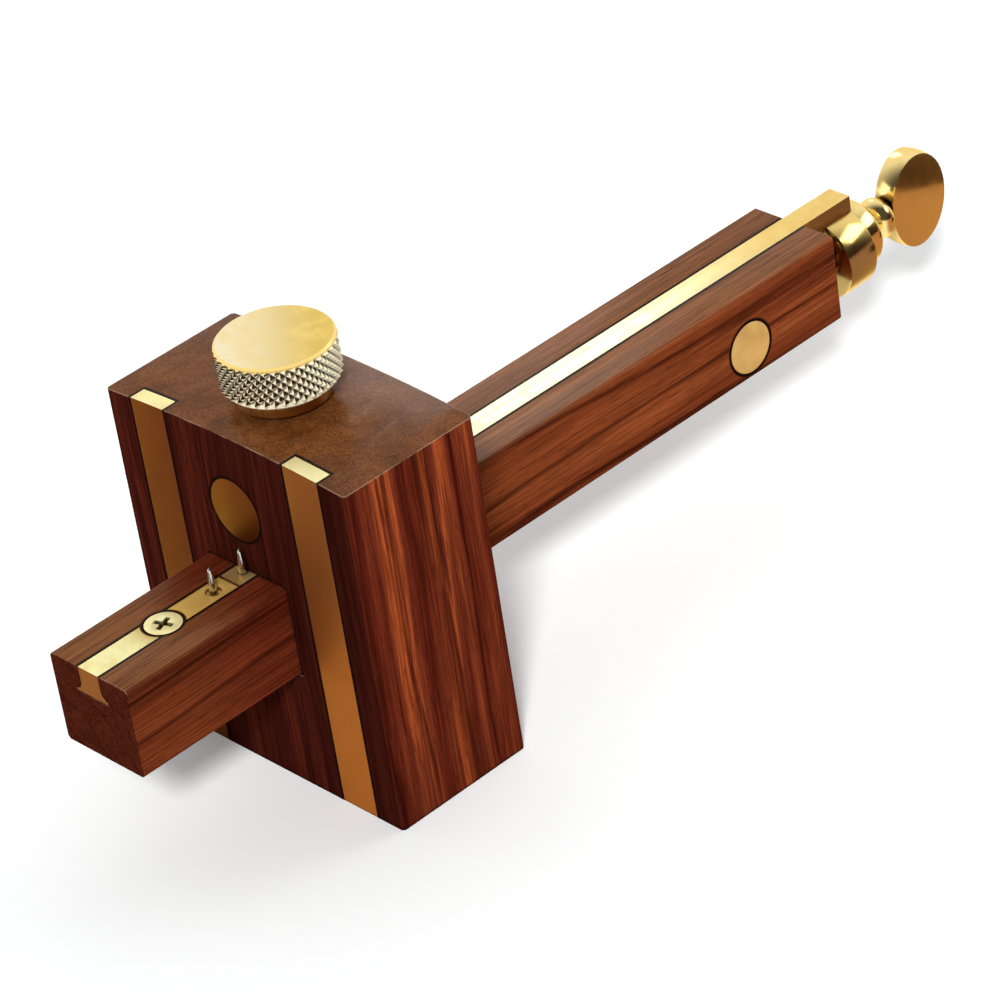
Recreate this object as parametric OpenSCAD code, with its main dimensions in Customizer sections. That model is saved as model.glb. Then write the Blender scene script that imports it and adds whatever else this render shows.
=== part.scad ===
// Mortise gauge: a rosewood stock that slides along a rosewood stem. The stem carries a
// fixed brass strip with one marking pin and a long brass slide with a second pin. A thumb
// turn at the far end moves the slide, and a knurled thumbscrew clamps the stock.
// The stem lies along Y with its marking end at -Y. Z is up, and the origin is the centre
// of the stock's base.

/* [Stock] */
// Width of the stock
stock_w = 57.5; // [50:0.5:70]
// Thickness of the stock, along the stem
stock_t = 28; // [24:0.5:36]
// Height of the stock at its sides
stock_h = 65; // [60:0.5:80]
// Rise of the arched top end above its sides
stock_crown = 1.2; // [0.6:0.1:2.5]
// Chamfer of the stock's upright edges
stock_edge = 0.5; // [0.2:0.1:1.5]
// Wood below the stem
stem_rise = 23.3; // [16:0.1:26]

/* [Wear strips] */
// Width of a brass wear strip
wear_w = 8; // [5:0.5:9.5]
// Thickness of a brass wear strip
wear_t = 3; // [1.5:0.1:4]
// Wood between a wear strip and the stock's side
wear_inset = 6.3; // [4:0.1:8]

/* [Stem] */
// Width of the stem
stem_w = 19; // [16:0.5:22]
// Height of the stem
stem_h = 17; // [16:0.5:20]
// Length of the wooden stem
stem_len = 165; // [140:1:210]
// Chamfer of the stem's long edges
stem_edge = 0.5; // [0.2:0.1:1.5]

/* [Brass rail] */
// Width of the rail's upright neck, seen on the stem's top
rail_w = 4.8; // [4:0.1:6]
// Height of the rail
rail_h = 5; // [4.2:0.1:6]
// Height of the upright neck above the flared foot
neck_h = 2.8; // [2:0.1:3.4]
// Width of the rail's foot across its sharp tips
foot_w = 7.6; // [6.6:0.1:9]
// Thickness of the foot at its tips
foot_lip = 0.4; // [0.2:0.1:0.8]
// Length of the fixed strip
fixed_strip_len = 30; // [24:0.5:40]
// Length of the slide that stands out past the stem's far end
slide_overhang = 12.3; // [11:0.1:20]

/* [Pins and strip screw] */
// Diameter of a marking pin
pin_d = 1.3; // [1:0.1:2]
// Height of a pin's point above the brass
pin_h = 4.6; // [2:0.1:6]
// Depth of a pin in the brass
pin_depth = 4; // [3:0.1:4.1]
// Distance from the fixed strip's inner end to its pin
fixed_pin_inset = 3.2; // [2:0.1:5]
// Distance from the slide's inner end to its pin
moving_pin_inset = 2.8; // [2:0.1:5]
// Distance from the fixed strip's inner end to its screw
strip_screw_inset = 14; // [9:0.5:18]
// Diameter of the recess around the fixed pin
pin_recess_d = 2.8; // [2.4:0.1:3.8]
// Depth of the recess around the fixed pin
pin_recess_h = 0.6; // [0.3:0.1:1.5]
// Head diameter of the countersunk strip screw
head_d = 6.4; // [5.5:0.1:7.6]
// Shank diameter of the strip screw
shank_d = 3.2; // [2.5:0.1:4]
// Length of the strip screw
shank_len = 13; // [10:0.5:15]

/* [Clamp] */
// Height of the clamp's barrel nut above the stem's top
clamp_nut_rise = 11.6; // [10.6:0.1:14]
// Diameter of the clamp's barrel nut
clamp_nut_d = 11.4; // [9:0.1:13]
// Diameter of the threaded stud
stud_d = 6; // [5:0.5:7]
// Diameter of the stud's unthreaded tip in the shoe
tip_d = 4; // [3:0.1:4.4]
// Length of the stud's tip in the shoe
tip_len = 1.8; // [1:0.1:2.4]
// Diameter of the pressure shoe
shoe_d = 9.6; // [8:0.1:12]
// Thickness of the pressure shoe
shoe_t = 3.4; // [3:0.1:3.8]
// Diameter of the knurled head over its points
knob_d = 20.4; // [16:0.2:24]
// Height of the knurled head with its shoulder
knob_h = 10.3; // [8:0.1:13]
// Diameter of the plain shoulder below the knurl
shoulder_d = 16; // [12:0.1:16]
// Height of the plain shoulder below the knurl
shoulder_h = 2.3; // [1:0.1:3]
// Free height between the stock's arched top and the shoulder
knob_gap = 0.8; // [0.4:0.1:4]
// Depth of the knurl
knurl_depth = 0.75; // [0.4:0.05:1]
// Points around the knurl
knurl_count = 38; // [24:1:48]
// Rows of the knurl's lattice from edge to edge
knurl_rows = 9; // [5:1:12]

/* [Adjuster] */
// Depth of the adjusting screw's axis below the stem's top
axis_drop = 9.6; // [9.6:0.1:10.6]
// Diameter of the adjusting screw
screw_d = 4; // [3.5:0.5:5]
// Diameter of the screw's spigot in the thumb turn
spigot_d = 2.8; // [2:0.1:3]
// Furthest distance that the slide can be drawn out
slide_travel = 20; // [10:1:24]
// Distance of the stem's barrel nut from the far end
stem_nut_inset = 22.9; // [18:0.1:40]
// Diameter of the stem's barrel nut
stem_nut_d = 9.6; // [9:0.1:10.4]
// Distance of the barrel nut's middle below the screw's axis
stem_nut_drop = 1.3; // [0:0.1:1.4]
// Diameter of the slide's round lug
lug_d = 15.6; // [13:0.1:18]
// Distance of the lug's middle below the screw's axis
lug_drop = 0.9; // [0:0.1:2]
// Length of the slide's round lug
lug_len = 6.8; // [5:0.1:8]
// Diameter of the retaining collar behind the lug
collar_d = 8.6; // [7:0.1:8.6]
// Thickness of the retaining collar
collar_t = 2.4; // [2:0.1:3]

/* [Thumb turn] */
// Diameter of the flange against the lug
flange_d = 12.8; // [9:0.1:14]
// Thickness of the flange
flange_t = 4; // [2:0.1:5]
// Diameter of the turned necks
turn_neck_d = 4.6; // [4.2:0.1:5.4]
// Length of the neck between the flange and the bead
turn_neck_len = 2.4; // [1:0.1:4]
// Diameter of the bead
bead_d = 7.8; // [6:0.1:9]
// Length of the bead
bead_len = 4.4; // [3.4:0.1:7]
// Largest diameter of the bulb that the paddle is cut from
bulb_d = 18.8; // [14:0.1:24]
// Length of the bulb from its neck to its widest place
bulb_back = 6.7; // [4:0.1:9]
// Length of the bulb from its widest place to its tip
bulb_front = 7.4; // [5:0.1:12]
// Thickness of the paddle between its two flats
paddle_t = 4.4; // [3.4:0.1:4.6]

/* [Hidden] */
// Clearances
stem_play = 0.15;    // stem in the stock's mortise, each side
rail_play = 0.1;     // rail in the stem's groove, each side
thread_play = 0.08;  // threaded rod in its nut, on the radius
bearing_play = 0.05; // smooth shaft in its bearing, on the radius
inlay_play = 0.04;   // brass let into wood or fixed in brass, each side
touch_gap = 0.05;    // faces that slide or press on each other
joint_gap = 0.5;     // fixed strip to closed slide
fence_gap = 0.15;    // moving pin to the fence
wood_play = 0.5;     // rod in a plain hole in the wood, on the radius
shoe_play = 0.2;     // shoe in its bore, on the radius
run_in = 1;          // how far a cutting tool runs past a face
arc_steps = 12;      // straight runs in a quarter round
$fn = 96;

// Heights
stem_top = stem_rise + stem_h;
stem_mid = stem_rise + stem_h / 2;
axis_z = stem_top - axis_drop;
stem_nut_z = axis_z - stem_nut_drop;
lug_z = axis_z - lug_drop;
clamp_nut_z = stem_top + clamp_nut_rise;
stock_top = stock_h + stock_crown;
shoe_base = stem_top + touch_gap;
shoe_top = shoe_base + shoe_t;
knob_base = stock_top + knob_gap;

// Places along the stem
fence_y = -stock_t / 2;
moving_pin_y = fence_y - fence_gap - pin_d / 2;
slide_start = moving_pin_y - moving_pin_inset;
strip_end = slide_start - joint_gap;
stem_start = strip_end - fixed_strip_len;
stem_end = stem_start + stem_len;
fixed_pin_y = strip_end - fixed_pin_inset;
strip_screw_y = strip_end - strip_screw_inset;
slide_end = stem_end + slide_overhang;
lug_start = slide_end - lug_len;
collar_end = lug_start - touch_gap;
turn_start = slide_end + touch_gap;
stem_nut_y = stem_end - stem_nut_inset;
screw_start = stem_nut_y - stem_nut_d / 2 - run_in - slide_travel;
screw_bore_start = screw_start - run_in;

// Thumb turn, measured from the flange's face
bead_at = flange_t + turn_neck_len + bead_len / 2;
bulb_at = bead_at + bead_len / 2 + bulb_back;
turn_len = bulb_at + bulb_front;
turn_bore_len = flange_t + turn_neck_len;

// Straight part of a pin above the brass
pin_shank_h = pin_h * 0.35;

// Strip screw
head_h = (head_d - shank_d) / 2;
recess_w = head_d / 7;
recess_len = head_d * 0.55;
recess_depth = head_h * 0.8;

rosewood = [0.36, 0.15, 0.09];
brass = [0.86, 0.70, 0.36];
steel = [0.72, 0.73, 0.75];

// Cylinder along Y from y = start, on the axis at height z
module rod_y(d, start, end, z = 0) {
    translate([0, start, z]) rotate([-90, 0, 0]) cylinder(d = d, h = end - start);
}

// Rectangle with its four corners cut off, centred
module chamfered_rectangle(w, h, edge) {
    x = w / 2;
    y = h / 2;
    polygon([
        [x - edge, y], [x, y - edge], [x, edge - y], [x - edge, -y],
        [edge - x, -y], [-x, edge - y], [-x, y - edge], [edge - x, y]
    ]);
}

// Upright solid on the plan given as children, from the base up to the stock's arched top
module under_crown() {
    radius = (pow(stock_w / 2, 2) + pow(stock_crown, 2)) / (2 * stock_crown);
    intersection() {
        linear_extrude(stock_top + run_in) children();
        translate([0, 0, stock_top - radius])
            rotate([90, 0, 0]) cylinder(r = radius, h = 2 * stock_t, center = true, $fn = 360);
    }
}

// Plan of one wear strip; side is -1 or 1, play widens it for its groove
module wear_plan(side, play = 0) {
    centre = side * (stock_w / 2 - wear_inset - wear_w / 2);
    translate([centre - wear_w / 2 - play, fence_y]) square([wear_w + 2 * play, wear_t + play]);
}

// Section of the brass rail in its upright plane, top at 0; play grows it
module rail_section(play = 0) {
    neck = rail_w / 2 + play;
    tip = foot_w / 2 + play;
    flare_w = tip - neck;
    flare_h = rail_h - neck_h - foot_lip;
    right = [for (i = [0 : arc_steps])
        let (a = 90 * i / arc_steps)
        [tip - flare_w * cos(a), -neck_h - flare_h * sin(a)]];
    half = concat([[neck, 0]], right, [[tip, -rail_h - play]]);
    left = [for (i = [len(half) - 1 : -1 : 0]) [-half[i][0], half[i][1]]];
    polygon(concat(half, left));
}

// The rail's section run from y = start to y = end, top flush with the stem
module rail(start, end, play = 0) {
    translate([0, end, stem_top])
        rotate([90, 0, 0]) linear_extrude(end - start) rail_section(play);
}

// Barrel nut that lies along Y and takes a rod along Z, or the hole for it
module clamp_nut_body(d, length) {
    rod_y(d, -length / 2, length / 2, clamp_nut_z);
}

// Barrel nut that lies along X in the stem, or the hole for it
module stem_nut_body(d, length) {
    translate([-length / 2, stem_nut_y, stem_nut_z])
        rotate([0, 90, 0]) cylinder(d = d, h = length);
}

// Countersunk screw's outline, top at 0; play grows it for its hole
module screw_form(play = 0) {
    rotate_extrude()
        polygon([
            [0, 0], [head_d / 2 + play, 0], [shank_d / 2 + play, -head_h - play],
            [shank_d / 2 + play, shank_d - shank_len - play], [0, -shank_len - 2 * play]
        ]);
}

// Steel marking pin with a long point, standing on its seat at height z = 0
module marking_pin() {
    rotate_extrude()
        polygon([
            [0, -pin_depth], [pin_d / 2, -pin_depth], [pin_d / 2, pin_shank_h],
            [pin_d / 5, pin_h * 0.9], [0, pin_h]
        ]);
}

module stock_block() color(rosewood)
    difference() {
        under_crown() chamfered_rectangle(stock_w, stock_t, stock_edge);
        for (side = [-1, 1])
            translate([0, 0, -run_in]) linear_extrude(stock_top + 2 * run_in) {
                wear_plan(side, inlay_play);
                translate([0, -run_in]) wear_plan(side, inlay_play);
            }
        translate([-stem_w / 2 - stem_play, -stock_t, stem_rise - stem_play])
            cube([stem_w + 2 * stem_play, 2 * stock_t, stem_h + 2 * stem_play]);
        clamp_nut_body(clamp_nut_d + 2 * inlay_play, stock_t + 2 * run_in);
        translate([0, 0, stem_top]) cylinder(d = shoe_d + 2 * shoe_play, h = clamp_nut_rise);
        translate([0, 0, stem_top]) cylinder(d = stud_d + 2 * wood_play, h = stock_top);
    }

module wear_strip(side) color(brass)
    under_crown() wear_plan(side);

module wear_strip_left() wear_strip(-1);

module wear_strip_right() wear_strip(1);

module clamp_barrel_nut() color(brass)
    difference() {
        clamp_nut_body(clamp_nut_d, stock_t);
        translate([0, 0, stem_top]) cylinder(d = stud_d + 2 * thread_play, h = stock_h);
    }

module pressure_shoe() color(brass)
    difference() {
        translate([0, 0, shoe_base]) cylinder(d = shoe_d, h = shoe_t);
        translate([0, 0, shoe_top - tip_len - bearing_play])
            cylinder(d = tip_d + 2 * bearing_play, h = tip_len + run_in);
    }

module clamp_stud() color(steel)
    union() {
        translate([0, 0, shoe_top - tip_len]) cylinder(d = tip_d, h = tip_len + run_in);
        translate([0, 0, shoe_top + touch_gap])
            cylinder(d = stud_d, h = knob_base + knob_h / 2 - shoe_top - touch_gap);
    }

// Band around Z, from z = 0 to z = h: a lattice of four-sided points between two bevels
module knurled_band(crest, root, bevel, h) {
    columns = 2 * knurl_count;
    lattice_h = h - 2 * bevel;
    levels = concat([0], [for (k = [0 : knurl_rows]) bevel + lattice_h * k / knurl_rows], [h]);
    last = len(levels) - 1;
    plain = [root - bevel, root, crest - bevel / 2, crest - 1.5 * bevel];
    function ring_r(k, i) = k < 2 ? plain[k] : k > last - 2 ? plain[k - last + 3]
        : (i + k) % 2 == 0 ? crest : root;
    function at(k, i) = k * columns + i % columns;
    points = [for (k = [0 : last], i = [0 : columns - 1])
        let (a = 180 * i / knurl_count)
        [ring_r(k, i) * cos(a), ring_r(k, i) * sin(a), levels[k]]];
    sides = [for (k = [0 : last - 1], i = [0 : columns - 1], lower = [true, false])
        (i + k) % 2 == 1
            ? (lower ? [at(k, i), at(k + 1, i + 1), at(k, i + 1)]
                     : [at(k, i), at(k + 1, i), at(k + 1, i + 1)])
            : (lower ? [at(k, i), at(k + 1, i), at(k, i + 1)]
                     : [at(k, i + 1), at(k + 1, i), at(k + 1, i + 1)])];
    bottom = [for (i = [0 : columns - 1]) at(0, i)];
    top = [for (i = [columns - 1 : -1 : 0]) at(last, i)];
    polyhedron(points, concat(sides, [bottom], [top]), convexity = 4);
}

module knurled_head() color(brass)
    translate([0, 0, knob_base])
        difference() {
            crest = knob_d / 2;
            bevel = knurl_depth / 2;
            union() {
                cylinder(d = shoulder_d, h = shoulder_h + bevel);
                translate([0, 0, shoulder_h])
                    knurled_band(crest, crest - knurl_depth, bevel, knob_h - shoulder_h);
            }
            translate([0, 0, -run_in])
                cylinder(d = stud_d + 2 * inlay_play, h = knob_h / 2 + run_in + inlay_play);
        }

module stem_beam() color(rosewood)
    difference() {
        translate([0, stem_end, stem_mid]) rotate([90, 0, 0])
            linear_extrude(stem_len) chamfered_rectangle(stem_w, stem_h, stem_edge);
        rail(stem_start - run_in, stem_end + run_in, rail_play);
        translate([-rail_w / 2 - rail_play, stem_start - run_in, stem_top - neck_h])
            cube([rail_w + 2 * rail_play, stem_len + 2 * run_in, neck_h + run_in]);
        rod_y(screw_d + 2 * wood_play, screw_bore_start, stem_end + run_in, axis_z);
        stem_nut_body(stem_nut_d + 2 * inlay_play, stem_w + 2 * run_in);
        translate([0, strip_screw_y, stem_top]) screw_form(inlay_play);
    }

module fixed_strip() color(brass)
    difference() {
        rail(stem_start, strip_end);
        translate([0, strip_screw_y, stem_top]) screw_form(inlay_play);
        translate([0, fixed_pin_y, stem_top - pin_recess_h])
            cylinder(d = pin_recess_d, h = pin_recess_h + run_in);
        translate([0, fixed_pin_y, stem_top - pin_recess_h / 2 - pin_depth])
            cylinder(d = pin_d + 2 * inlay_play, h = rail_h);
    }

module strip_screw() color(brass)
    translate([0, strip_screw_y, stem_top])
        difference() {
            screw_form();
            for (turn = [0, 90])
                rotate([0, 0, turn + 20])
                    translate([-recess_len / 2, -recess_w / 2, -recess_depth])
                        cube([recess_len, recess_w, recess_depth + run_in]);
        }

module fixed_pin() color(steel)
    translate([0, fixed_pin_y, stem_top]) marking_pin();

module stem_barrel_nut() color(brass)
    difference() {
        stem_nut_body(stem_nut_d, stem_w);
        rod_y(screw_d + 2 * thread_play, stem_nut_y - stem_nut_d, stem_nut_y + stem_nut_d, axis_z);
    }

module slide_bar() color(brass)
    difference() {
        rail(slide_start, slide_end);
        rod_y(lug_d + 2 * inlay_play, lug_start - inlay_play, slide_end + run_in, lug_z);
        translate([0, moving_pin_y, stem_top - pin_depth])
            cylinder(d = pin_d + 2 * inlay_play, h = rail_h);
    }

module slide_lug() color(brass)
    difference() {
        rod_y(lug_d, lug_start, slide_end, lug_z);
        rod_y(screw_d + 2 * bearing_play, lug_start - run_in, slide_end + run_in, axis_z);
    }

module moving_pin() color(steel)
    translate([0, moving_pin_y, stem_top]) marking_pin();

module adjusting_screw() color(steel)
    difference() {
        union() {
            rod_y(screw_d, screw_start, turn_start, axis_z);
            rod_y(spigot_d, slide_end - run_in, turn_start + turn_bore_len, axis_z);
        }
        collar_pin_body(inlay_play);
    }

// Cross pin through the collar and the screw
module collar_pin_body(play = 0) {
    pin = screw_d * 0.3 + 2 * play;
    translate([0, collar_end - collar_t / 2, axis_z - collar_d / 2])
        cylinder(d = pin, h = collar_d);
}

module retaining_collar() color(brass)
    difference() {
        rod_y(collar_d, collar_end - collar_t, collar_end, axis_z);
        rod_y(screw_d + 2 * inlay_play, collar_end - 2 * collar_t, collar_end + run_in, axis_z);
        collar_pin_body(inlay_play);
    }

module collar_pin() color(steel)
    intersection() {
        collar_pin_body();
        rod_y(collar_d, collar_end - collar_t, collar_end, axis_z);
    }

// Outline of the thumb turn as radius against length, from the flange to the tip
function turn_outline() =
    let (
        flange_round = flange_t / 3,
        flange = [for (i = [0 : arc_steps])
            let (a = 90 * i / arc_steps)
            [flange_d / 2 - flange_round + flange_round * cos(a),
             flange_t - flange_round + flange_round * sin(a)]],
        neck_r = turn_neck_d / 2,
        bead_r = bead_d / 2,
        bead_turn = asin(neck_r / bead_r),
        bead_half = bead_len / 2 / cos(bead_turn),
        bead = [for (i = [0 : 2 * arc_steps])
            let (a = bead_turn + (180 - 2 * bead_turn) * i / (2 * arc_steps))
            [bead_r * sin(a), bead_at - bead_half * cos(a)]],
        bulb_r = bulb_d / 2,
        bulb_turn = asin(neck_r / bulb_r),
        back = [for (i = [1 : arc_steps])
            let (a = bulb_turn + (90 - bulb_turn) * i / arc_steps)
            [bulb_r * sin(a), bulb_at - bulb_back * cos(a) / cos(bulb_turn)]],
        front = [for (i = [1 : 2 * arc_steps])
            let (a = 90 * i / (2 * arc_steps))
            [bulb_r * cos(a), bulb_at + bulb_front * sin(a)]]
    )
    concat([[0, 0], [flange_d / 2, 0]], flange, [[neck_r, flange_t]], bead, back, front);

module thumb_turn() color(brass)
    translate([0, turn_start, axis_z]) rotate([-90, 0, 0])
        difference() {
            rotate_extrude() polygon(turn_outline());
            for (side = [0, 1])
                mirror([side, 0, 0])
                    translate([paddle_t / 2, -bulb_d / 2, bead_at + bead_len / 2])
                        cube([bulb_d, bulb_d, turn_len]);
            translate([0, 0, -run_in])
                cylinder(d = spigot_d + 2 * inlay_play, h = turn_bore_len + run_in + inlay_play);
        }

stock_block();
wear_strip_left();
wear_strip_right();
clamp_barrel_nut();
pressure_shoe();
clamp_stud();
knurled_head();
stem_beam();
fixed_strip();
strip_screw();
fixed_pin();
stem_barrel_nut();
slide_bar();
slide_lug();
moving_pin();
adjusting_screw();
retaining_collar();
collar_pin();
thumb_turn();
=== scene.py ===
import math
import bpy
from mathutils import Matrix, Vector


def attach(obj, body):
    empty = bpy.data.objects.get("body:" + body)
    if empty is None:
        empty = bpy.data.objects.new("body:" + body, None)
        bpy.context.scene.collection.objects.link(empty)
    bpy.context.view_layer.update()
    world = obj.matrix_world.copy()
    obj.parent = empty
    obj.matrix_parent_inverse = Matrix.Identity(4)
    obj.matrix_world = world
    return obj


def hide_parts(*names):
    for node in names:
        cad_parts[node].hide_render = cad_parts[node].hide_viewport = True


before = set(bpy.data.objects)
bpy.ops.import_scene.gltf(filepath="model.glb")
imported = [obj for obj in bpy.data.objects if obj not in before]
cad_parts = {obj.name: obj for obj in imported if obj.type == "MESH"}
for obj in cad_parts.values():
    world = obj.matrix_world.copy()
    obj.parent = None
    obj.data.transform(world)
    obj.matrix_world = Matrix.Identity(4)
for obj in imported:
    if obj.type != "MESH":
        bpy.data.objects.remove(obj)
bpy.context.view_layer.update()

# All sizes of the pieces are written in millimetres and turned into metres here
MM = 0.001

# Sizes shared with the solids
AXIS_Z = 30.7
TURN_START = 129.25
TURN_BORE = 6.4
SCREW_R = 2.0
SPIGOT_R = 1.4
STOCK_BACK = 14.0
STRIP_X = 18.45
STRIP_HALF = 4.0
STRIP_BACK = -11.0
CLAMP_NUT = (0, 0, 51.9)
CLAMP_NUT_R = 5.7
GROOVE_HALF = 2.5
STRIP_SCREW = (0, -32.1, 0)
STRIP_SCREW_R = 3.2
STEM_NUT = (0, 94.0, 29.4)
STEM_NUT_R = 4.8

# The knurl's paint starts outside this radius, and ends at this height
KNURL_INSIDE_R = 8.7
KNURL_TOP = 76.5

# Points of a mesh that lie closer than this are one point
WELD = 0.002 * MM


# Node helpers
def add_node(tree, kind, inputs=None, **settings):
    made = tree.nodes.new(kind)
    for name, value in settings.items():
        setattr(made, name, value)
    for socket, value in (inputs or {}).items():
        if isinstance(value, bpy.types.NodeSocket):
            tree.links.new(value, made.inputs[socket])
        else:
            made.inputs[socket].default_value = value
    return made


def calc(tree, operation, a, b=0.5, clamp=False):
    return add_node(tree, "ShaderNodeMath", {0: a, 1: b}, operation=operation, use_clamp=clamp).outputs[0]


def vector_calc(tree, operation, a, b=(0, 0, 0), out=0):
    return add_node(tree, "ShaderNodeVectorMath", {0: a, 1: b}, operation=operation).outputs[out]


def scaled(tree, vector, factor):
    return add_node(tree, "ShaderNodeVectorMath", {0: vector, "Scale": factor}, operation="SCALE").outputs[0]


def part_of(tree, vector, axis):
    return add_node(tree, "ShaderNodeSeparateXYZ", {0: vector}).outputs[axis]


def noise(tree, vector, stretch, detail, roughness=0.5, out="Fac"):
    stretched = vector_calc(tree, "MULTIPLY", vector, stretch)
    inputs = {"Vector": stretched, "Scale": 1.0, "Detail": detail, "Roughness": roughness}
    return add_node(tree, "ShaderNodeTexNoise", inputs).outputs[out]


def smooth_range(tree, value, low, high, to_low=0.0, to_high=1.0):
    inputs = {0: value, 1: low, 2: high, 3: to_low, 4: to_high}
    return add_node(tree, "ShaderNodeMapRange", inputs, interpolation_type="SMOOTHSTEP").outputs[0]


def ramp(tree, value, stops):
    made = add_node(tree, "ShaderNodeValToRGB", {0: value})
    elements = made.color_ramp.elements
    while len(elements) < len(stops):
        elements.new(1.0)
    for element, (place, colour) in zip(elements, stops):
        element.position = place
        element.color = (*colour, 1.0)
    return made.outputs[0]


def mixed(tree, share, a, b, blend="MIX"):
    made = add_node(tree, "ShaderNodeMix", data_type="RGBA", blend_type=blend, clamp_result=False)
    for index, value in ((0, share), (6, a), (7, b)):
        if isinstance(value, bpy.types.NodeSocket):
            tree.links.new(value, made.inputs[index])
        elif index == 0:
            made.inputs[0].default_value = value
        else:
            made.inputs[index].default_value = (*value, 1.0)
    return made.outputs[2]


def tinted(tree, colour, tint):
    return mixed(tree, 1.0, colour, tint, "MULTIPLY")


def new_group(name, inputs, outputs):
    tree = bpy.data.node_groups.new(name, "ShaderNodeTree")
    for way, sockets in (("INPUT", inputs), ("OUTPUT", outputs)):
        for socket, kind in sockets:
            tree.interface.new_socket(socket, in_out=way, socket_type="NodeSocket" + kind)
    given = tree.nodes.new("NodeGroupInput").outputs
    result = tree.nodes.new("NodeGroupOutput").inputs
    return tree, given, result


def place_group(tree, group, inputs):
    made = tree.nodes.new("ShaderNodeGroup")
    made.node_tree = group
    for socket, value in inputs.items():
        if isinstance(value, bpy.types.NodeSocket):
            tree.links.new(value, made.inputs[socket])
        else:
            made.inputs[socket].default_value = value
    return made.outputs


def give_out(tree, result, values):
    for name, value in values.items():
        tree.links.new(value, result[name])


# Rosewood figure in millimetres with the grain along Z: broad figure, growth lines, fibre and pores
def make_figure_group():
    tree, given, result = new_group(
        "rosewood_figure",
        [("Vector", "Vector"), ("Waviness", "Float"), ("Line Spacing", "Float")],
        [("Figure", "Float"), ("Lines", "Float"), ("Fibre", "Float"), ("Pores", "Float")],
    )
    sway = noise(tree, given["Vector"], (0.07, 0.07, 0.016), 2.0, out="Color")
    centred = vector_calc(tree, "SUBTRACT", sway, (0.5, 0.5, 0.5))
    grown = vector_calc(tree, "ADD", given["Vector"], scaled(tree, centred, given["Waviness"]))
    figure = noise(tree, grown, (0.19, 0.19, 0.005), 6.0, 0.62)
    from_pith = vector_calc(tree, "LENGTH", vector_calc(tree, "MULTIPLY", grown, (1, 1, 0)), out=1)
    years = calc(tree, "DIVIDE", from_pith, given["Line Spacing"])
    uneven = calc(tree, "MULTIPLY", noise(tree, grown, (0.12, 0.12, 0.01), 2.0), 3.0)
    swing = calc(tree, "PINGPONG", calc(tree, "ADD", years, uneven), 1.0)
    lines = smooth_range(tree, swing, 0.72, 0.98)
    fibre = noise(tree, grown, (2.4, 2.4, 0.05), 4.0, 0.7)
    pores = smooth_range(tree, noise(tree, grown, (5.5, 5.5, 0.22), 1.0), 0.62, 0.72)
    give_out(tree, result, {"Figure": figure, "Lines": lines, "Fibre": fibre, "Pores": pores})
    return tree


# Which way a face looks: up, out of the fence, or to a side
def make_facing_group():
    outputs = [("Up", "Float"), ("Front", "Float"), ("Side", "Float")]
    tree, given, result = new_group("facing", [("Normal", "Vector")], outputs)
    parts = add_node(tree, "ShaderNodeSeparateXYZ", {0: given["Normal"]}).outputs
    up = smooth_range(tree, parts["Z"], 0.55, 0.9)
    front = smooth_range(tree, calc(tree, "MULTIPLY", parts["Y"], -1.0), 0.55, 0.9)
    side = smooth_range(tree, calc(tree, "ABSOLUTE", parts["X"]), 0.75, 0.95)
    give_out(tree, result, {"Up": up, "Front": front, "Side": side})
    return tree


# Rubbed upper edges, partly a painted highlight: where a rounded normal leaves the face's own one, broken up
# by a soft noise
def make_edge_group():
    inputs = [("Vector", "Vector"), ("Radius", "Float")]
    tree, given, result = new_group("rubbed_edges", inputs, [("Edge", "Float")])
    rounded = add_node(tree, "ShaderNodeBevel", {"Radius": given["Radius"]}, samples=4).outputs[0]
    own = add_node(tree, "ShaderNodeNewGeometry").outputs["Normal"]
    turned_away = calc(tree, "SUBTRACT", 1.0, vector_calc(tree, "DOT_PRODUCT", rounded, own, out=1))
    edge = smooth_range(tree, turned_away, 0.02, 0.12)
    patches = smooth_range(tree, noise(tree, given["Vector"], (0.3, 0.3, 0.3), 4.0, 0.6), 0.35, 0.6)
    upper = smooth_range(tree, part_of(tree, rounded, "Z"), 0.1, 0.3)
    give_out(tree, result, {"Edge": calc(tree, "MULTIPLY", calc(tree, "MULTIPLY", edge, patches), upper)})
    return tree


# Painted shade in seams and hollows: darker where ambient occlusion closes in
def make_hollow_shade_group():
    tree, given, result = new_group("hollows", [("Size", "Float")], [("Hollow Shade", "Float")])
    occlusion = add_node(tree, "ShaderNodeAmbientOcclusion", {"Distance": given["Size"]}, samples=6)
    closed = calc(tree, "SUBTRACT", 1.0, occlusion.outputs["AO"])
    give_out(tree, result, {"Hollow Shade": smooth_range(tree, closed, 0.12, 0.65)})
    return tree


# Surface of worked metal in millimetres: tarnish clouds and marks of the last working
def make_metal_group():
    tree, given, result = new_group(
        "worked_metal",
        [("Vector", "Vector"), ("Marks", "Vector")],
        [("Tarnish", "Float"), ("Marks", "Float")],
    )
    tarnish = noise(tree, given["Vector"], (0.25, 0.25, 0.25), 5.0, 0.6)
    marks = noise(tree, vector_calc(tree, "MULTIPLY", given["Vector"], given["Marks"]), (1, 1, 1), 3.0, 0.6)
    give_out(tree, result, {"Tarnish": tarnish, "Marks": marks})
    return tree


# Dark glue line round an inlay, from the distance to its edge in millimetres
def make_glue_line_group():
    inputs = [("Distance", "Float"), ("Width", "Float")]
    tree, given, result = new_group("glue_line", inputs, [("Line", "Float")])
    share = calc(tree, "DIVIDE", calc(tree, "ABSOLUTE", given["Distance"]), given["Width"])
    give_out(tree, result, {"Line": smooth_range(tree, share, 0.6, 1.3, 1.0, 0.0)})
    return tree


FIGURE = make_figure_group()
FACING = make_facing_group()
EDGES = make_edge_group()
METAL = make_metal_group()
HOLLOW_SHADE = make_hollow_shade_group()
GLUE_LINE = make_glue_line_group()
GLUE_WIDTH = 0.55
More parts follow.
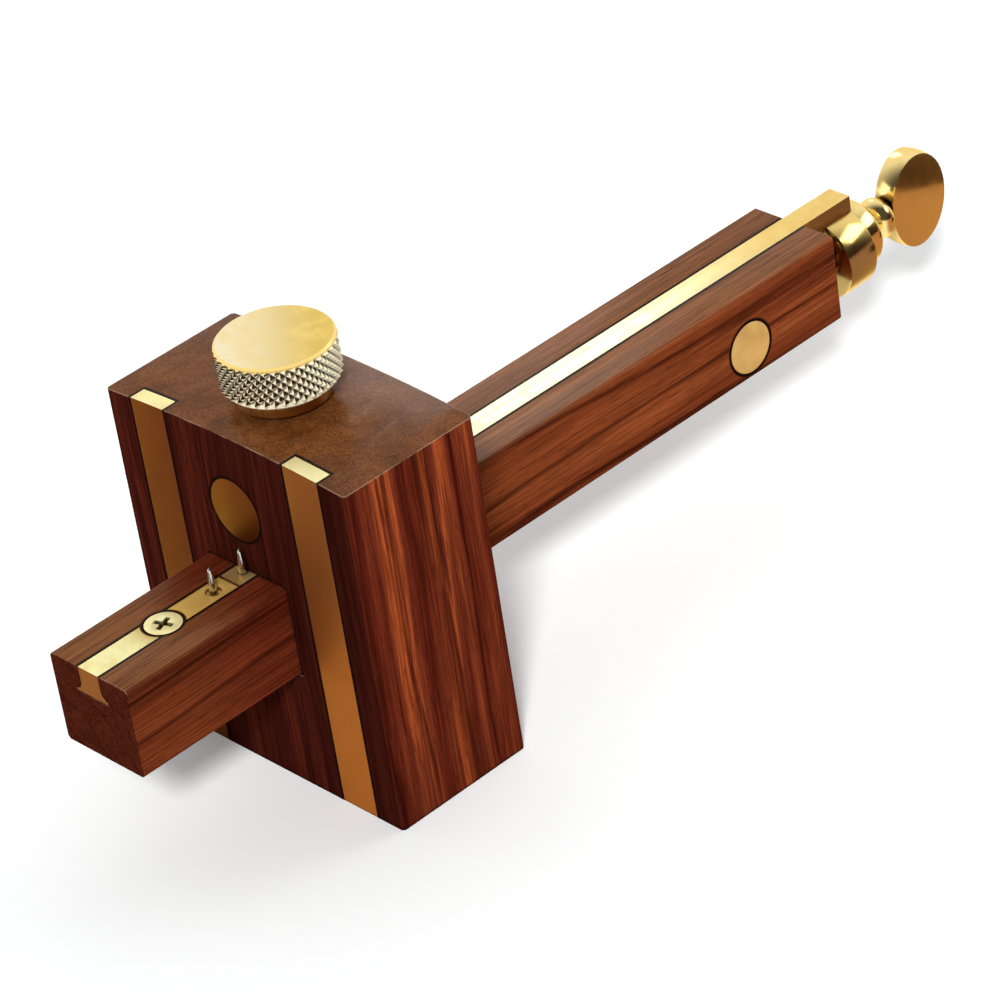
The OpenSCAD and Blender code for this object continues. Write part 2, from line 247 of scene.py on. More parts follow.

# Dirt and wear, with painted shade in seams and hollows and a painted highlight on rubbed edges
PORE_BLACK = (0.012, 0.004, 0.003)
GLUE_BLACK = (0.010, 0.004, 0.003)
SEAM_SHADE = (0.008, 0.004, 0.003)
RUBBED_WOOD_AND_SHEEN = (0.46, 0.31, 0.20)
LINE_TINT = (0.25, 0.2, 0.25)
BRASS_GLUE = (0.02, 0.008, 0.004)
BRASS_HOLLOW_SHADE = (0.035, 0.011, 0.005)
STEEL_HOLLOW_SHADE = (0.05, 0.045, 0.04)
BRASS_SHINE = (1.0, 0.82, 0.5, 1.0)

# Tints of the stem before the stock's back: at the fence and at the marking end
FENCE_TINT = (0.61, 0.45, 0.56)
END_TINT = (0.80, 0.76, 0.82)

# Knurl: painted light on the lower trailing flanks, painted shade on the upper leading ones, a painted
# highlight on the plain rim above it, and how metallic it stays
KNURL_LIT = (1.0, 0.94, 0.68)
KNURL_SHADED = (0.03, 0.010, 0.005)
KNURL_RIM_HIGHLIGHT = (0.95, 0.68, 0.22)
KNURL_METALLIC = 0.12


def new_material(name):
    material = bpy.data.materials.new(name)
    material.use_nodes = True
    tree = material.node_tree
    return material, tree, tree.nodes["Principled BSDF"], add_node(tree, "ShaderNodeTexCoord").outputs


def millimetres(tree, coords, turn=(0, 0, 0), shift=(0, 0, 0)):
    rotation = [math.radians(a) for a in turn]
    per_metre = (1000, 1000, 1000)
    inputs = {"Vector": coords["Object"], "Rotation": rotation, "Location": shift, "Scale": per_metre}
    return add_node(tree, "ShaderNodeMapping", inputs).outputs[0]


def bump(tree, shader, height, strength, distance):
    made = add_node(tree, "ShaderNodeBump", {"Height": height, "Strength": strength, "Distance": distance})
    tree.links.new(made.outputs[0], shader.inputs["Normal"])


# Glue lines of inlays in millimetres. A strip is (face, middle across, half width) and a disc is
# (face, centre, radius). A strip's end that stops short has (half width, back) for its half width.
def glue_lines(tree, place, facing, inlays):
    lines = 0.0
    parts = add_node(tree, "ShaderNodeSeparateXYZ", {0: place}).outputs
    for way, middle, reach in inlays:
        if isinstance(middle, tuple):
            flat = {"Up": (1, 1, 0), "Front": (1, 0, 1), "Side": (0, 1, 1)}[way]
            from_centre = vector_calc(tree, "MULTIPLY", vector_calc(tree, "SUBTRACT", place, middle), flat)
            across = vector_calc(tree, "LENGTH", from_centre, out=1)
        else:
            from_middle = calc(tree, "SUBTRACT", calc(tree, "ABSOLUTE", parts["X"]), middle)
            across = calc(tree, "ABSOLUTE", from_middle)
        if isinstance(reach, tuple):
            half, back = reach
            past_back = calc(tree, "SUBTRACT", parts["Y"], back)
            distance = calc(tree, "MAXIMUM", calc(tree, "SUBTRACT", across, half), past_back)
        else:
            distance = calc(tree, "SUBTRACT", across, reach)
        line = place_group(tree, GLUE_LINE, {"Distance": distance, "Width": GLUE_WIDTH})["Line"]
        lines = calc(tree, "MAXIMUM", lines, calc(tree, "MULTIPLY", line, facing[way]))
    return lines


# Polished rosewood: dark and red streaks, black lines, faded where it looks up, painted shade on faces
# looking out of the fence (part of it the wood's own darker tone), painted shade in seams, paler on rubbed
# upper edges (partly a painted highlight).
# With fresh, it turns from faded to deep red between those two places, and stays so up to the stock's back.
def rosewood(name, turn, shift, streaks, faded, front_painted_shade, front_painted_plain, waviness, spacing,
             top_polish, rubbing_and_sheen, inlays, fresh=None):
    material, tree, shader, coords = new_material(name)
    place = millimetres(tree, coords)
    grown = millimetres(tree, coords, turn, shift)
    grain = place_group(tree, FIGURE, {"Vector": grown, "Waviness": waviness, "Line Spacing": spacing})
    facing = place_group(tree, FACING, {"Normal": coords["Normal"]})
    edge = place_group(tree, EDGES, {"Vector": grown, "Radius": 0.35 * MM})["Edge"]
    # Painted shade in seams, from ambient occlusion
    seam_shade = place_group(tree, HOLLOW_SHADE, {"Size": 0.9 * MM})["Hollow Shade"]

    side = ramp(tree, grain["Figure"], streaks)
    worn = facing["Up"]
    if fresh:
        along = part_of(tree, place, "Y")
        behind = smooth_range(tree, along, STOCK_BACK - 4, STOCK_BACK)
        kept = calc(tree, "MAXIMUM", smooth_range(tree, along, *fresh, 1.0, 0.0), behind)
        worn = calc(tree, "MULTIPLY", worn, kept)
        before = mixed(tree, kept, FENCE_TINT, END_TINT)
        side = tinted(tree, side, mixed(tree, behind, before, (1.0, 1.0, 1.0)))
    # Faces looking out of the fence: painted shade, partly the wood's own darker tone
    front = mixed(tree, 0.5, tinted(tree, side, front_painted_shade), front_painted_plain)
    shaded = mixed(tree, facing["Front"], side, front)
    body = mixed(tree, worn, shaded, ramp(tree, grain["Figure"], faded))

    plain_faces = calc(tree, "MAXIMUM", facing["Up"], calc(tree, "MULTIPLY", facing["Front"], 0.7))
    line_share = smooth_range(tree, plain_faces, 0.0, 1.0, 0.75, 0.2)
    dark_lines = calc(tree, "MULTIPLY", grain["Lines"], line_share)
    lined = mixed(tree, dark_lines, body, tinted(tree, body, LINE_TINT))
    lit = scaled(tree, lined, smooth_range(tree, grain["Fibre"], 0.3, 0.7, 0.62, 1.35))
    pored = mixed(tree, calc(tree, "MULTIPLY", grain["Pores"], 0.6), lit, PORE_BLACK)
    # Paler upper edges: rubbed wear, partly a painted highlight
    rubbed = mixed(tree, calc(tree, "MULTIPLY", edge, rubbing_and_sheen), pored, RUBBED_WOOD_AND_SHEEN)
    glued = mixed(tree, glue_lines(tree, place, facing, inlays), rubbed, GLUE_BLACK)
    tree.links.new(mixed(tree, seam_shade, glued, SEAM_SHADE), shader.inputs["Base Color"])

    rough = smooth_range(tree, grain["Fibre"], 0.25, 0.75, 0.42, 0.3)
    tree.links.new(rough, shader.inputs["Roughness"])
    shader.inputs["Specular IOR Level"].default_value = 0.0
    tree.links.new(calc(tree, "MULTIPLY", facing["Up"], top_polish), shader.inputs["Coat Weight"])
    shader.inputs["Coat Roughness"].default_value = 0.2
    bump(tree, shader, calc(tree, "SUBTRACT", grain["Fibre"], grain["Pores"]), 0.25, 0.03 * MM)
    return material


# Knurl: a point gets painted light on its lower trailing flanks and painted shade on its upper leading ones
def knurl_points(tree, place, normal, radius, top):
    flat = vector_calc(tree, "MULTIPLY", place, (1, 1, 0))
    out = vector_calc(tree, "LENGTH", flat, out=1)
    outside = smooth_range(tree, out, radius - 0.1, radius + 0.1)
    below = smooth_range(tree, part_of(tree, place, "Z"), top - 0.1, top + 0.1, 1.0, 0.0)
    around = vector_calc(tree, "NORMALIZE", vector_calc(tree, "CROSS_PRODUCT", (0, 0, 1), flat))
    upward = part_of(tree, normal, "Z")
    slope = calc(tree, "ADD", vector_calc(tree, "DOT_PRODUCT", normal, around, out=1), upward)
    points = mixed(tree, smooth_range(tree, slope, 0.12, 0.34), KNURL_LIT, KNURL_SHADED)
    flank = smooth_range(tree, upward, 0.9, 0.97, 1.0, 0.0)
    # The plain rim above the knurl gets a painted highlight
    return mixed(tree, below, KNURL_RIM_HIGHLIGHT, points), calc(tree, "MULTIPLY", outside, flank)


# Brass: bright and dull clouds, marks of working, painted shade in hollows, painted reflections on faces
# looking out of the fence, at their lower part and on the flanks, and painted highlights as fades to another
# colour, each along a direction between two places in millimetres
def brass(name, bright, dull, roughness, marks, mark_depth, front=None, front_low_reflection=None, side=None,
          highlight_fades=(), hollow_size=0.6, metallic=1.0, inlays=(), knurl=None):
    material, tree, shader, coords = new_material(name)
    place = millimetres(tree, coords)
    worked = place_group(tree, METAL, {"Vector": place, "Marks": marks})
    # Painted shade in hollows, from ambient occlusion
    hollow_shade = place_group(tree, HOLLOW_SHADE, {"Size": hollow_size * MM})["Hollow Shade"]
    facing = place_group(tree, FACING, {"Normal": coords["Normal"]})

    # Fades paint highlights and reflections along a direction
    colour = bright
    for direction, first, last, far in highlight_fades:
        along = vector_calc(tree, "DOT_PRODUCT", place, direction, out=1)
        colour = mixed(tree, smooth_range(tree, along, first, last), colour, far)
    colour = mixed(tree, smooth_range(tree, worked["Tarnish"], 0.35, 0.75, 0.0, 0.5), colour, dull)
    # Painted reflections: colours for faces looking out of the fence, towards their lower part, and to a
    # side
    if front_low_reflection:
        front = mixed(tree, smooth_range(tree, part_of(tree, place, "Z"), 12, 58), front_low_reflection, front)
    for way, shade in (("Front", front), ("Side", side)):
        if shade:
            colour = mixed(tree, facing[way], colour, shade)
    if inlays:
        colour = mixed(tree, glue_lines(tree, place, facing, inlays), colour, BRASS_GLUE)
    if knurl:
        points, zone = knurl_points(tree, place, coords["Normal"], *knurl)
        colour = mixed(tree, zone, colour, points)
        metal = smooth_range(tree, zone, 0.0, 1.0, metallic, KNURL_METALLIC)
        tree.links.new(metal, shader.inputs["Metallic"])
    tree.links.new(mixed(tree, hollow_shade, colour, BRASS_HOLLOW_SHADE), shader.inputs["Base Color"])

    shader.inputs["Metallic"].default_value = metallic
    shader.inputs["Specular IOR Level"].default_value = 0.0 if metallic < 1.0 else 0.5
    shader.inputs["Specular Tint"].default_value = BRASS_SHINE
    spread = smooth_range(tree, worked["Tarnish"], 0.3, 0.8, roughness, roughness + 0.12)
    tree.links.new(spread, shader.inputs["Roughness"])
    bump(tree, shader, worked["Marks"], 0.2, mark_depth * MM)
    return material


def steel(name, bright, dull, roughness, marks):
    material, tree, shader, coords = new_material(name)
    worked = place_group(tree, METAL, {"Vector": millimetres(tree, coords), "Marks": marks})
    # Painted shade in hollows, from ambient occlusion
    hollow_shade = place_group(tree, HOLLOW_SHADE, {"Size": 0.4 * MM})["Hollow Shade"]
    colour = mixed(tree, smooth_range(tree, worked["Tarnish"], 0.4, 0.8, 0.0, 0.6), bright, dull)
    tree.links.new(mixed(tree, hollow_shade, colour, STEEL_HOLLOW_SHADE), shader.inputs["Base Color"])
    shader.inputs["Metallic"].default_value = 1.0
    spread = smooth_range(tree, worked["Marks"], 0.2, 0.8, roughness, roughness + 0.1)
    tree.links.new(spread, shader.inputs["Roughness"])
    bump(tree, shader, worked["Marks"], 0.2, 0.01 * MM)
    return material


STOCK_WOOD = rosewood(
    "stock_rosewood", turn=(0, 0, 0), shift=(-60, 31, 0),
    streaks=[(0.34, (0.040, 0.005, 0.003)), (0.45, (0.100, 0.014, 0.006)), (0.55, (0.165, 0.030, 0.011)),
             (0.605, (0.34, 0.066, 0.017)), (0.65, (0.118, 0.020, 0.009))],
    faded=[(0.3, (0.105, 0.033, 0.008)), (0.5, (0.145, 0.048, 0.012)), (0.7, (0.19, 0.066, 0.018))],
    front_painted_shade=(0.29, 0.23, 0.42), front_painted_plain=(0.048, 0.009, 0.005),
    waviness=3.0, spacing=2.6, top_polish=0.32, rubbing_and_sheen=0.85,
    inlays=[("Front", STRIP_X, STRIP_HALF), ("Up", STRIP_X, (STRIP_HALF, STRIP_BACK + 0.05)),
            ("Front", CLAMP_NUT, CLAMP_NUT_R)])
STEM_WOOD = rosewood(
    "stem_rosewood", turn=(90, 0, 0), shift=(35, -18, 0),
    streaks=[(0.30, (0.086, 0.016, 0.006)), (0.45, (0.15, 0.031, 0.0095)), (0.55, (0.20, 0.045, 0.013)),
             (0.66, (0.245, 0.059, 0.018)), (0.74, (0.138, 0.030, 0.011))],
    faded=[(0.3, (0.13, 0.044, 0.014)), (0.5, (0.19, 0.068, 0.020)), (0.7, (0.235, 0.088, 0.030))],
    front_painted_shade=(0.42, 0.36, 0.5), front_painted_plain=(0.075, 0.0155, 0.007),
    waviness=2.0, spacing=2.6, top_polish=0.25, rubbing_and_sheen=0.6,
    inlays=[("Up", 0.0, GROOVE_HALF), ("Up", STRIP_SCREW, STRIP_SCREW_R),
            ("Side", STEM_NUT, STEM_NUT_R + 0.1)],
    fresh=(-38, -17))

# Marks of the last working: along the stem, up the fence and round a turned piece
STEM_MARKS = (6, 0.12, 6)
FENCE_MARKS = (6, 6, 0.15)
TURNED_MARKS = (1.0, 5, 1.0)

# Directions of the painted highlight fades: from the marking end to the thumb turn, and across the knurled
# head's top
ALONG = (0, 1, 0)
ACROSS_HEAD = (0.637, 0.771, 0)

# The front, lower front and side colours of these brasses are painted reflections and shade; the left and
# right strips differ mostly in these painted front colours
LEFT_BRASS = brass(
    "left_strip_brass", (0.97, 0.90, 0.48), (0.85, 0.70, 0.32), 0.4, FENCE_MARKS, 0.01,
    front=(0.148, 0.038, 0.010), metallic=0.6)
RIGHT_BRASS = brass(
    "right_strip_brass", (0.97, 0.90, 0.48), (0.85, 0.70, 0.32), 0.42, FENCE_MARKS, 0.01,
    front=(0.25, 0.079, 0.019), front_low_reflection=(0.44, 0.135, 0.026), metallic=0.6)
END_BRASS = brass(
    "end_strip_brass", (0.97, 0.93, 0.48), (0.72, 0.50, 0.16), 0.34, STEM_MARKS, 0.008,
    front=(0.26, 0.092, 0.026), side=(0.30, 0.12, 0.03), highlight_fades=[(ALONG, -40, -33, (0.68, 0.41, 0.10))],
    metallic=0.4, inlays=[("Up", STRIP_SCREW, STRIP_SCREW_R + 0.1)])
HEAD_BRASS = brass(
    "screw_head_brass", (1.0, 0.93, 0.48), (0.86, 0.66, 0.28), 0.3, (5, 5, 5), 0.006,
    hollow_size=2.4, metallic=0.4)
BAR_BRASS = brass(
    "bar_brass", (0.70, 0.42, 0.14), (0.90, 0.76, 0.36), 0.26, STEM_MARKS, 0.008,
    front=(0.40, 0.2, 0.06), side=(0.20, 0.075, 0.022),
    highlight_fades=[(ALONG, -14, -8, (0.97, 0.92, 0.62)), (ALONG, 70, 118, (0.80, 0.56, 0.18))], metallic=0.75)
DISC_BRASS = brass(
    "disc_brass", (0.64, 0.38, 0.13), (0.50, 0.28, 0.08), 0.38, (3, 3, 0.4), 0.015,
    front=(0.16, 0.042, 0.010))
KNOB_BRASS = brass(
    "knob_brass", (0.94, 0.84, 0.58), (0.86, 0.64, 0.24), 0.16, (4, 4, 4), 0.002,
    side=(0.50, 0.30, 0.12), highlight_fades=[(ACROSS_HEAD, -9, 8, (0.72, 0.52, 0.14))],
    knurl=(KNURL_INSIDE_R, KNURL_TOP))
TURNED_BRASS = brass(
    "turned_brass", (0.95, 0.73, 0.30), (0.85, 0.57, 0.20), 0.1, TURNED_MARKS, 0.002,
    side=(0.38, 0.15, 0.034), hollow_size=2.2)
LUG_BRASS = brass(
    "lug_brass", (0.88, 0.65, 0.22), (0.78, 0.52, 0.17), 0.12, TURNED_MARKS, 0.002,
    side=(0.225, 0.097, 0.030), hollow_size=2.2)
PIN_STEEL = steel("pin_steel", (0.85, 0.85, 0.86), (0.6, 0.59, 0.58), 0.16, (1, 1, 8))
SCREW_STEEL = steel("screw_steel", (0.62, 0.62, 0.63), (0.32, 0.30, 0.29), 0.28, (1, 6, 1))


# Making helpers
def only(piece):
    bpy.ops.object.select_all(action="DESELECT")
    piece.select_set(True)
    bpy.context.view_layer.objects.active = piece


def give(piece, material):
    piece.data.materials.clear()
    piece.data.materials.append(material)


def finish_piece(piece, material, slot, body, *nodes):
    give(piece, material)
    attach(piece, body)
    if nodes:
        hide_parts(*nodes)
    return piece


def apply_modifier(piece, kind, **settings):
    only(piece)
    modifier = piece.modifiers.new(kind.lower(), kind)
    for name, value in settings.items():
        setattr(modifier, name, value)
    bpy.ops.object.modifier_apply(modifier=modifier.name)


def smooth_faces(piece, sharpest):
    only(piece)
    bpy.ops.object.shade_smooth_by_angle(angle=math.radians(sharpest))


def weld():
    bpy.ops.mesh.select_all(action="SELECT")
    bpy.ops.mesh.remove_doubles(threshold=WELD)


# A copy of a solid with its edges softened and its flat faces made whole
def softened(name, node, width, sharpest):
    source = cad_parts[node]
    piece = bpy.data.objects.new(name, source.data.copy())
    bpy.context.scene.collection.objects.link(piece)
    only(piece)
    bpy.ops.mesh.customdata_custom_splitnormals_clear()
    bpy.ops.object.mode_set(mode="EDIT")
    weld()
    if width:
        bpy.ops.mesh.dissolve_limited(angle_limit=math.radians(0.4))
    bpy.ops.mesh.normals_make_consistent(inside=False)
    bpy.ops.object.mode_set(mode="OBJECT")
    if width:
        apply_modifier(piece, "BEVEL", width=width * MM, segments=2, limit_method="ANGLE",
                       angle_limit=math.radians(sharpest), use_clamp_overlap=True, profile=0.6)
    smooth_faces(piece, sharpest)
    return piece


# A bent line through points in metres, left open in edit mode
def drawn_line(name, points):
    bpy.ops.object.select_all(action="DESELECT")
    bpy.ops.mesh.primitive_plane_add(size=1 * MM)
    piece = bpy.context.object
    piece.name = name
    bpy.ops.object.mode_set(mode="EDIT")
    bpy.ops.mesh.select_all(action="SELECT")
    bpy.ops.mesh.merge(type="CENTER")
    bpy.ops.transform.translate(value=points[0])
    for before, after in zip(points, points[1:]):
        bpy.ops.mesh.extrude_region_move(TRANSFORM_OT_translate={"value": after - before})
    return piece


# A turned piece: an outline of (radius, length) points in millimetres, spun round an axis along Y
def turned(name, outline, start, height, steps):
    points = [Vector((radius * MM, (start + along) * MM, height * MM)) for radius, along in outline]
    piece = drawn_line(name, points)
    bpy.ops.mesh.select_all(action="SELECT")
    bpy.ops.mesh.spin(steps=steps, angle=math.tau, center=(0, 0, height * MM), axis=(0, 1, 0))
    weld()
    bpy.ops.mesh.normals_make_consistent(inside=False)
    bpy.ops.object.mode_set(mode="OBJECT")
    return piece


def arc(centre, radii, first, last, steps):
    turns = [math.radians(first + (last - first) * i / steps) for i in range(steps + 1)]
    return [(centre[0] + radii[0] * math.cos(a), centre[1] + radii[1] * math.sin(a)) for a in turns]


# Thumb turn: flange with two rounded edges, neck, bead and a bulb with two flats
def make_thumb_turn():
    flange_r, flange_t, flange_round, flange_edge = 6.4, 4.0, 1.33, 0.3
    neck_r, neck_len, neck_round = 2.3, 2.4, 0.35
    bead_r, bead_len = 3.9, 4.4
    bulb_r, bulb_back, bulb_front = 9.4, 6.7, 7.4
    cutter_t, cutter_x, cutter_y = 10, 7.2, 12.2

    bead_at = flange_t + neck_len + bead_len / 2
    bead_turn = math.degrees(math.asin(neck_r / bead_r))
    bead_half = bead_len / 2 / math.cos(math.radians(bead_turn))
    bulb_at = bead_at + bead_len / 2 + bulb_back
    bulb_turn = math.degrees(math.asin(neck_r / bulb_r))
    bulb_half = bulb_back / math.cos(math.radians(bulb_turn))

    outline = [(0, 0)]
    outline += arc((flange_r - flange_edge, flange_edge), (flange_edge, flange_edge), -90, 0, 4)
    corner = (flange_r - flange_round, flange_t - flange_round)
    outline += arc(corner, (flange_round, flange_round), 0, 90, 14)
    outline += arc((neck_r + neck_round, flange_t + neck_round), (neck_round, neck_round), 270, 180, 4)
    outline += arc((0, bead_at), (bead_r, bead_half), bead_turn - 90, 90 - bead_turn, 28)
    outline += arc((0, bulb_at), (bulb_r, bulb_half), bulb_turn - 90, 0, 24)[1:]
    outline += arc((0, bulb_at), (bulb_r, bulb_front), 0, 90, 30)[1:]
    outline = [(max(radius, 0.0), along) for radius, along in outline]
    piece = turned("thumb_turn_polished", outline, TURN_START, AXIS_Z, 128)
    for side in (-1, 1):
        bpy.ops.mesh.primitive_cube_add(size=1)
        cutter = bpy.context.object
        bpy.ops.transform.resize(value=(cutter_t * MM, 20 * MM, 22 * MM))
        along = TURN_START + bead_at + cutter_y
        bpy.ops.transform.translate(value=(side * cutter_x * MM, along * MM, AXIS_Z * MM))
        apply_modifier(piece, "BOOLEAN", operation="DIFFERENCE", object=cutter, solver="EXACT")
        bpy.data.objects.remove(cutter)
    apply_modifier(piece, "BEVEL", width=0.35 * MM, segments=3, limit_method="ANGLE",
                   angle_limit=math.radians(32), use_clamp_overlap=True)
    smooth_faces(piece, 40)
    return finish_piece(piece, TURNED_BRASS, "brass", "adjuster", "thumb_turn")


# Screw thread of 1 mm pitch along Y with closed ends
def make_thread(name, start, end, radius, height):
    depth, pitch, turn_steps = 0.35, 1.0, 28
    profile = [(radius - depth, 0), (radius, 0.4), (radius, 0.6), (radius - depth, pitch)]
    piece = drawn_line(name, [Vector((out * MM, along * MM, 0)) for out, along in profile])
    bpy.ops.object.mode_set(mode="OBJECT")
    apply_modifier(piece, "SCREW", axis="Y", angle=math.tau, screw_offset=pitch * MM,
                   steps=turn_steps, render_steps=turn_steps, iterations=int((end - start) / pitch) - 1,
                   use_merge_vertices=True, merge_threshold=WELD)
    only(piece)
    bpy.ops.object.mode_set(mode="EDIT")
    weld()
    bpy.ops.mesh.select_all(action="DESELECT")
    bpy.ops.mesh.select_non_manifold()
    bpy.ops.mesh.fill_holes(sides=0)
    bpy.ops.mesh.select_all(action="SELECT")
    bpy.ops.mesh.normals_make_consistent(inside=False)
    bpy.ops.transform.translate(value=(0, start * MM, height * MM))
    bpy.ops.object.mode_set(mode="OBJECT")
    smooth_faces(piece, 35)
    return piece


# Adjusting screw: a thread as far as the lug, then a plain shank with a spigot for the thumb turn
def make_adjusting_screw():
    thread_start, thread_end, shank_start = 68.3, 118.5, 118.2
    thread = make_thread("adjusting_thread", thread_start, thread_end, SCREW_R, AXIS_Z)
    finish_piece(thread, SCREW_STEEL, "steel", "adjuster", "adjusting_screw")
    shoulder = TURN_START - shank_start
    tip = TURN_START + TURN_BORE - shank_start
    outline = [(0, 0), (SCREW_R, 0), (SCREW_R, shoulder), (SPIGOT_R, shoulder), (SPIGOT_R, tip), (0, tip)]
    shank = turned("adjusting_shank", outline, shank_start, AXIS_Z, 48)
    smooth_faces(shank, 35)
    finish_piece(shank, SCREW_STEEL, "steel", "adjuster")


# Pieces: name, solid, body, material, slot, width of the softened edge, sharpest angle shaded smooth
PIECES = [
    ("stock_softened", "stock_block", "stock", STOCK_WOOD, "rosewood", 0.22, 40),
    ("front_strip_left", "wear_strip_left", "stock", LEFT_BRASS, "brass", 0.12, 40),
    ("front_strip_right", "wear_strip_right", "stock", RIGHT_BRASS, "brass", 0.12, 40),
    ("front_disc", "clamp_barrel_nut", "stock", DISC_BRASS, "brass", 0.12, 40),
    ("knurled_head_cut", "knurled_head", "thumbscrew", KNOB_BRASS, "brass", 0, 12),
    ("stem_softened", "stem_beam", "stem", STEM_WOOD, "rosewood", 0.2, 40),
    ("fixed_strip_softened", "fixed_strip", "stem", END_BRASS, "brass", 0.1, 40),
    ("strip_screw_softened", "strip_screw", "stem", HEAD_BRASS, "brass", 0.08, 40),
    ("side_disc", "stem_barrel_nut", "stem", DISC_BRASS, "brass", 0.12, 40),
    ("slide_softened", "slide_bar", "slide", BAR_BRASS, "brass", 0.1, 40),
    ("lug_softened", "slide_lug", "slide", LUG_BRASS, "brass", 0.3, 40),
    ("collar_softened", "retaining_collar", "adjuster", TURNED_BRASS, "brass", 0.2, 40),
    ("fixed_point", "fixed_pin", "stem", PIN_STEEL, "steel", 0, 30),
    ("moving_point", "moving_pin", "slide", PIN_STEEL, "steel", 0, 30),
]
for piece_name, node, body, material, slot, width, sharpest in PIECES:
    finish_piece(softened(piece_name, node, width, sharpest), material, slot, body, node)

make_thumb_turn()
make_adjusting_screw()

# Solids that stay as they are
HIDDEN = [("pressure_shoe", DISC_BRASS), ("clamp_stud", SCREW_STEEL), ("collar_pin", SCREW_STEEL)]
for node, material in HIDDEN:
    give(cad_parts[node], material)

WHITE = (1, 1, 1, 1)
FLOOR_WHITE = (0.872, 0.884, 0.884, 1)
FLOOR_GLOW = 0.10


def bare_material(name):
    material = bpy.data.materials.new(name)
    material.use_nodes = True
    material.node_tree.nodes.clear()
    return material, material.node_tree


# Floor: white, keeps the shadow, and shows as the background
def make_floor():
    bpy.ops.object.select_all(action="DESELECT")
    bpy.ops.mesh.primitive_plane_add(size=8.0, location=(0, 0, -0.05 * MM))
    floor = bpy.context.object
    floor.name = "floor"
    material, tree = bare_material("white_floor")
    diffuse = add_node(tree, "ShaderNodeBsdfDiffuse", {"Color": FLOOR_WHITE})
    path = add_node(tree, "ShaderNodeLightPath").outputs
    mirrored = calc(tree, "ADD", path["Is Camera Ray"], path["Is Glossy Ray"])
    seen = calc(tree, "ADD", mirrored, path["Is Transmission Ray"], clamp=True)
    strength = calc(tree, "MULTIPLY", seen, FLOOR_GLOW)
    glow = add_node(tree, "ShaderNodeEmission", {"Color": WHITE, "Strength": strength})
    both = add_node(tree, "ShaderNodeAddShader", {0: diffuse.outputs[0], 1: glow.outputs[0]})
    add_node(tree, "ShaderNodeOutputMaterial", {"Surface": both.outputs[0]})
    give(floor, material)


# Studio dome: bright on the left and behind, dim on the camera's side
def make_world():
    world = bpy.data.worlds.new("studio")
    bpy.context.scene.world = world
    world.use_nodes = True
    tree = world.node_tree
    tree.nodes.clear()
    direction = add_node(tree, "ShaderNodeTexCoord").outputs["Generated"]
    towards = vector_calc(tree, "DOT_PRODUCT", direction, (-0.74, 0.62, 0.26), out=1)
    strength = smooth_range(tree, towards, -0.2, 0.7, 0.08, 1.0)
    back = add_node(tree, "ShaderNodeBackground", {"Color": WHITE, "Strength": strength})
    add_node(tree, "ShaderNodeOutputWorld", {"Surface": back.outputs[0]})


# Camera at the photograph's angle: turns in degrees, lengths in millimetres
VIEW_AZIMUTH = 50.44
VIEW_ELEVATION = 32.73
VIEW_ROLL = -9.055
VIEW_DISTANCE = 776.46
VIEW_CENTRE = (0, 40, 35)
VIEW_SHIFT = (1.967, -9.2245)
LENS = 166.107


def view_axes():
    azimuth, elevation, roll = (math.radians(a) for a in (VIEW_AZIMUTH, VIEW_ELEVATION, VIEW_ROLL))
    flat = math.cos(elevation)
    back = Vector((math.sin(azimuth) * flat, -math.cos(azimuth) * flat, math.sin(elevation)))
    level = Vector((math.cos(azimuth), math.sin(azimuth), 0))
    up = back.cross(level)
    right = math.cos(roll) * level + math.sin(roll) * up
    above = -math.sin(roll) * level + math.cos(roll) * up
    return right, above, back


def aim(obj, place, back, above=Vector((0, 0, 1))):
    right = above.cross(back).normalized()
    turned_axes = Matrix((right, back.cross(right), back)).transposed()
    obj.matrix_world = Matrix.Translation(place) @ turned_axes.to_4x4()


def make_camera():
    right, above, back = view_axes()
    data = bpy.data.cameras.new("camera")
    data.lens = LENS
    data.sensor_width = 36.0
    data.clip_start = 0.02
    data.clip_end = 20.0
    camera = bpy.data.objects.new("camera", data)
    bpy.context.scene.collection.objects.link(camera)
    centre = Vector(VIEW_CENTRE) + VIEW_SHIFT[0] * right + VIEW_SHIFT[1] * above
    aim(camera, (centre + VIEW_DISTANCE * back) * MM, back, above)
    bpy.context.scene.camera = camera


# Way in which the camera's look at a point of a surface is thrown back, with the picture's upward way there
def thrown_back(point, normal):
    camera = bpy.context.scene.camera.matrix_world
    facing_out = Vector(normal).normalized()
    seen = (Vector(point) * MM - camera.translation).normalized()
    above = camera.to_3x3().col[1]
    return seen - 2 * seen.dot(facing_out) * facing_out, above - 2 * above.dot(facing_out) * facing_out


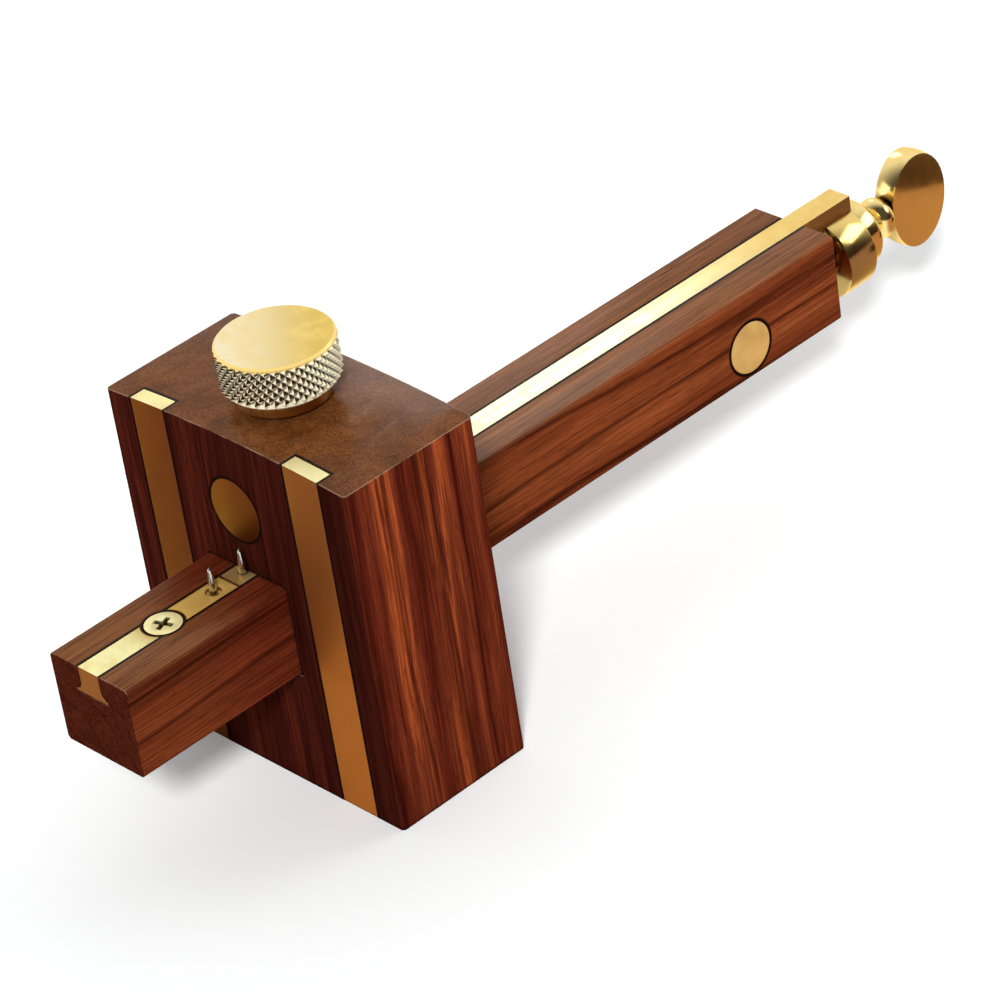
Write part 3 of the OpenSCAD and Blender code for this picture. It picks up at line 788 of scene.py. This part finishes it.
# A soft panel where the camera sees its reflection at a point of a surface
def place_panel(name, point, normal, distance, size, brightness):
    towards = thrown_back(point, normal)[0]
    lamp = bpy.data.lights.new(name, "AREA")
    lamp.shape = "RECTANGLE"
    lamp.size, lamp.size_y = size[0] * MM, size[1] * MM
    lamp.energy = brightness * math.pi * lamp.size * lamp.size_y
    panel = bpy.data.objects.new(name, lamp)
    bpy.context.scene.collection.objects.link(panel)
    aim(panel, (Vector(point) + distance * towards) * MM, towards)
    return panel


# A small dark card beside the thumb turn, seen only in its reflection on the flat
def place_card(name, point, normal, distance, size, brightness):
    towards, above = thrown_back(point, normal)
    bpy.ops.object.select_all(action="DESELECT")
    bpy.ops.mesh.primitive_plane_add(size=1)
    card = bpy.context.object
    card.name = name
    bpy.ops.transform.resize(value=(size[0] * MM, size[1] * MM, 1))
    bpy.ops.object.transform_apply(location=False, rotation=False, scale=True)
    aim(card, (Vector(point) + distance * towards) * MM, towards, above)
    material, tree = bare_material(name)
    grey = add_node(tree, "ShaderNodeEmission", {"Color": WHITE, "Strength": brightness})
    add_node(tree, "ShaderNodeOutputMaterial", {"Surface": grey.outputs[0]})
    give(card, material)
    card.visible_camera = False
    card.visible_diffuse = False
    card.visible_shadow = False


# Points of the brass, with their normals, where the panels and the card show: the slide's top, the
# thumb turn's flat, the lug's upper right and the thumb turn's rim
SLIDE_TOP = ((0, 60, 40.3), (0, 0, 1))
TURN_FLAT = ((2.2, 147.5, 41.2), (1, 0, 0))
LUG_SHOULDER = ((5.4, 126, 35.5), (math.sqrt(0.5), 0, math.sqrt(0.5)))
TURN_RIM = ((0, 138, 34), (0, -0.93, 0.37))


def make_lamps():
    right, above, back = view_axes()
    sun = bpy.data.lights.new("key", "SUN")
    sun.energy = 2.85
    sun.angle = math.radians(9)
    key = bpy.data.objects.new("key", sun)
    bpy.context.scene.collection.objects.link(key)
    aim(key, Vector((0, 0, 1)), (back - 0.10 * right + 0.11 * above).normalized())
    key.visible_glossy = False
    place_panel("slide_panel", *SLIDE_TOP, distance=300, size=(80, 90), brightness=2.4)
    place_card("dark_card", *TURN_FLAT, distance=45, size=(32, 12.5), brightness=0.2)
    place_panel("turn_panel", *LUG_SHOULDER, distance=260, size=(150, 110), brightness=3.0)
    rim = place_panel("rim_panel", *TURN_RIM, distance=250, size=(90, 90), brightness=1.6)
    rim.visible_diffuse = False


make_floor()
make_world()
make_camera()
make_lamps()
bpy.context.scene.view_settings.view_transform = "Standard"
